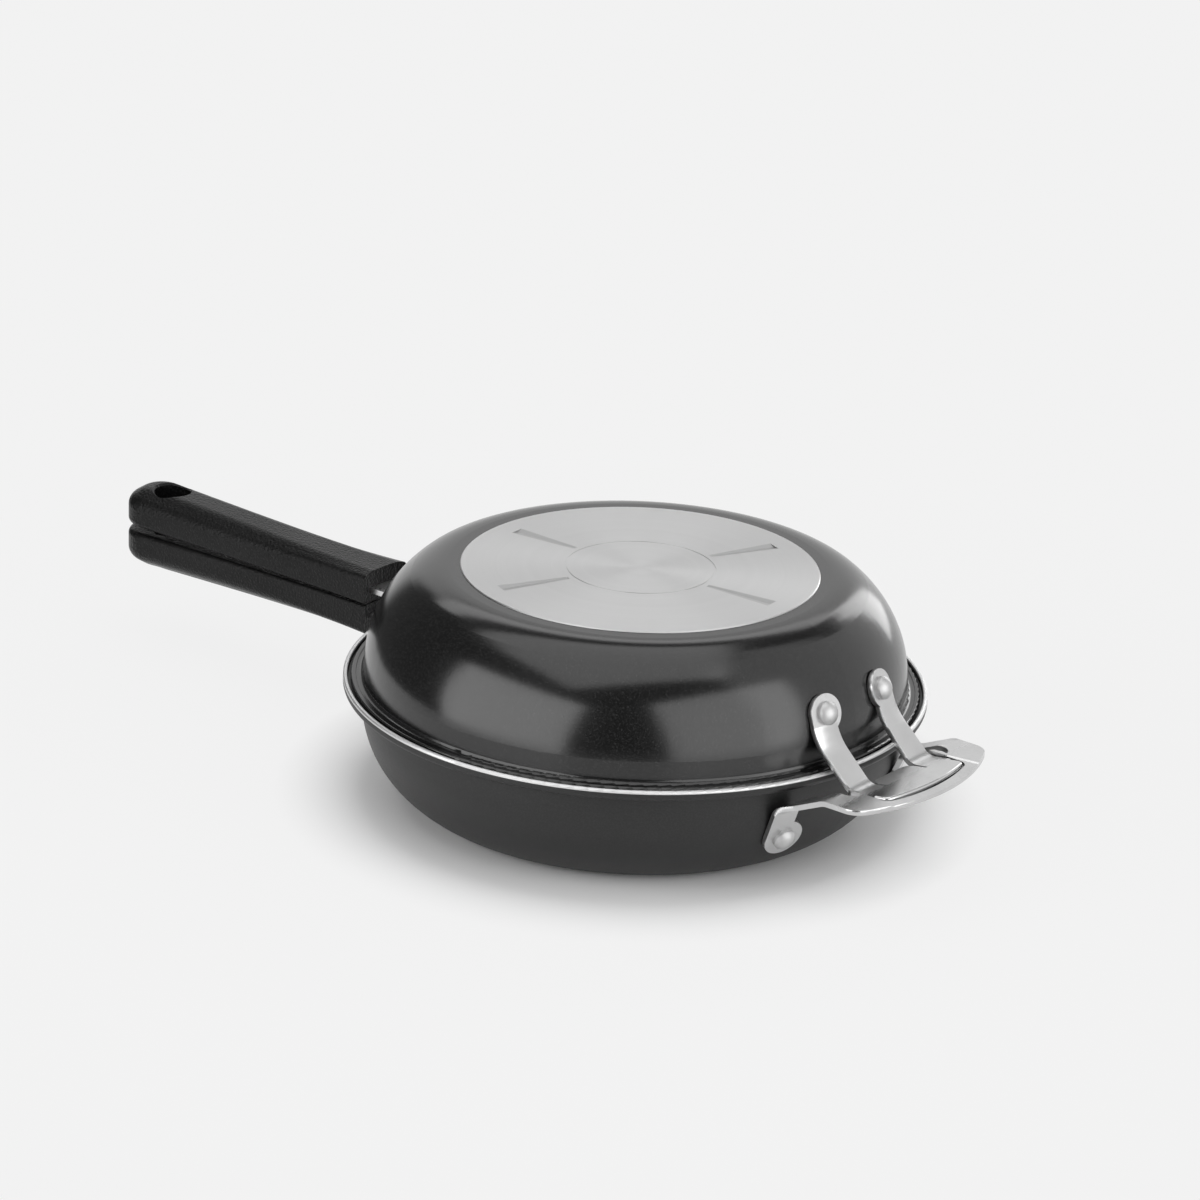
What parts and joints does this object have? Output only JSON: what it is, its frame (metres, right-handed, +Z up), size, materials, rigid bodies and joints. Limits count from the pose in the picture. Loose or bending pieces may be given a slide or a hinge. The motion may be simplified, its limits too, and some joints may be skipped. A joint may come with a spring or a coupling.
{
  "type": "frittata pan",
  "caption": "Double frying pan: two round coated pans that nest rim to rim, hinged at nested stamped helper handles, with long grips that lie face to face.",
  "frame": {"origin": "centre of the flat outer face of the lower pan's base plate, on the surface that the pan stands on", "axes": "+X towards the helper handles, -X along the long grips, +Z up; the hinge turns about an axis along Y"},
  "size_m": [0.4758, 0.26, 0.1078],
  "materials": {
    "lower_coating": "dark non-stick coating on pressed aluminium, slightly matte; bare turned metal on the top edge of the rim",
    "upper_coating": "glossy black non-stick coating on pressed aluminium, with a fine fleck",
    "base_metal": "bare satin metal, turned",
    "grip_black": "moulded phenolic, satin black",
    "bracket_steel": "satin stainless steel",
    "screw_steel": "zinc-plated steel",
    "helper_steel": "satin stainless steel with polished edges",
    "rivet_metal": "satin aluminium"
  },
  "bodies": {
    "lower_set": {"lower_pan": "lower_coating", "lower_base_plate": "base_metal", "lower_grip": "grip_black", "lower_handle_bracket": "bracket_steel", "lower_grip_screw": "screw_steel", "lower_helper_handle": "helper_steel", "lower_helper_rivet_left": "rivet_metal", "lower_helper_rivet_right": "rivet_metal", "lower_bracket_rivet_left": "rivet_metal", "lower_bracket_rivet_right": "rivet_metal"},
    "upper_set": {"upper_pan": "upper_coating", "upper_base_plate": "base_metal", "upper_grip": "grip_black", "upper_handle_bracket": "bracket_steel", "upper_grip_screw": "screw_steel", "upper_helper_handle": "helper_steel", "upper_helper_rivet_left": "rivet_metal", "upper_helper_rivet_right": "rivet_metal", "upper_bracket_rivet_left": "rivet_metal", "upper_bracket_rivet_right": "rivet_metal"}
  },
  "joints": [
    {"name": "pan_hinge", "type": "hinge", "parent": "lower_set", "child": "upper_set", "pos_m": [0.16115, 0, 0.0521], "axis": [0, 1, 0], "range_deg": [0, 90]}
  ]
}
